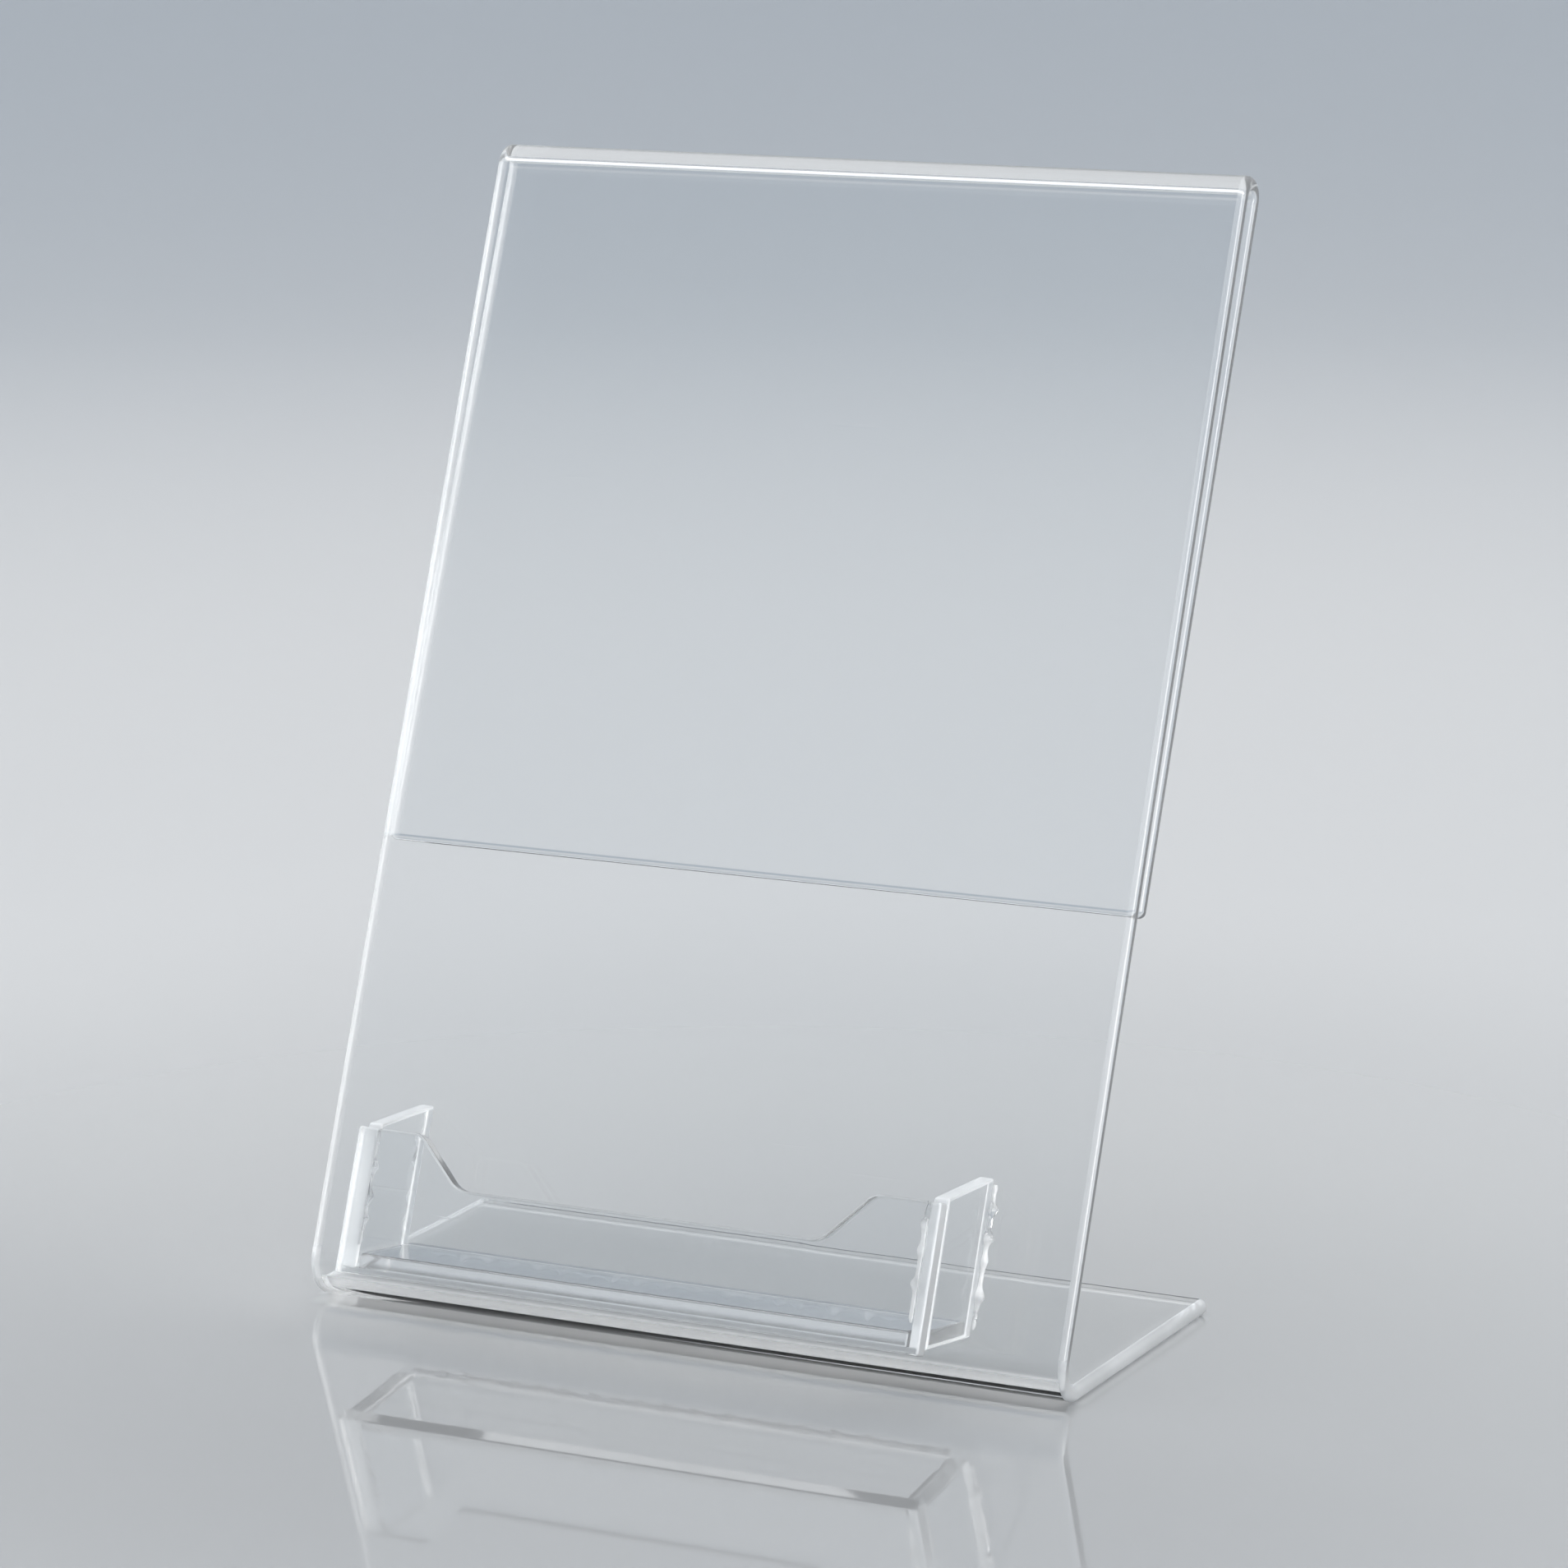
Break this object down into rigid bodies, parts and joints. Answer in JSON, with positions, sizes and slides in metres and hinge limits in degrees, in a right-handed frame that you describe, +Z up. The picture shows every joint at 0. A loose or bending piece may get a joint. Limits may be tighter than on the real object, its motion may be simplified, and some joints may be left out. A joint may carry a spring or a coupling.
{
  "type": "slanted photo stand with card pocket",
  "caption": "Clear slanted stand that holds an upright print between its leaning panel and a folded-over flap, with an open card pocket with a finger notch on its front.",
  "frame": {"origin": "centre of the object's outline, at the level of the surface that the foot stands on", "axes": "+Z up, +X to the right seen from the front, the front with the card pocket looks along -Y and the panel leans back towards +Y"},
  "size_m": [0.127, 0.087, 0.173],
  "materials": {
    "clear_sheet": "clear cast acrylic sheet, glossy, flame-polished edges",
    "clear_plate": "clear acrylic plate, glossy faces, eased and polished edges",
    "clear_cement": "dried clear acrylic cement, glossy, slightly uneven"
  },
  "bodies": {
    "root": {"folded_sheet": "clear_sheet", "pocket_front": "clear_plate", "pocket_side_left": "clear_plate", "pocket_side_right": "clear_plate", "pocket_floor": "clear_plate", "cement_seam_left": "clear_cement", "cement_seam_right": "clear_cement", "cement_seam_floor": "clear_cement", "cement_seam_front_left": "clear_cement", "cement_seam_front_right": "clear_cement"}
  },
  "joints": []
}
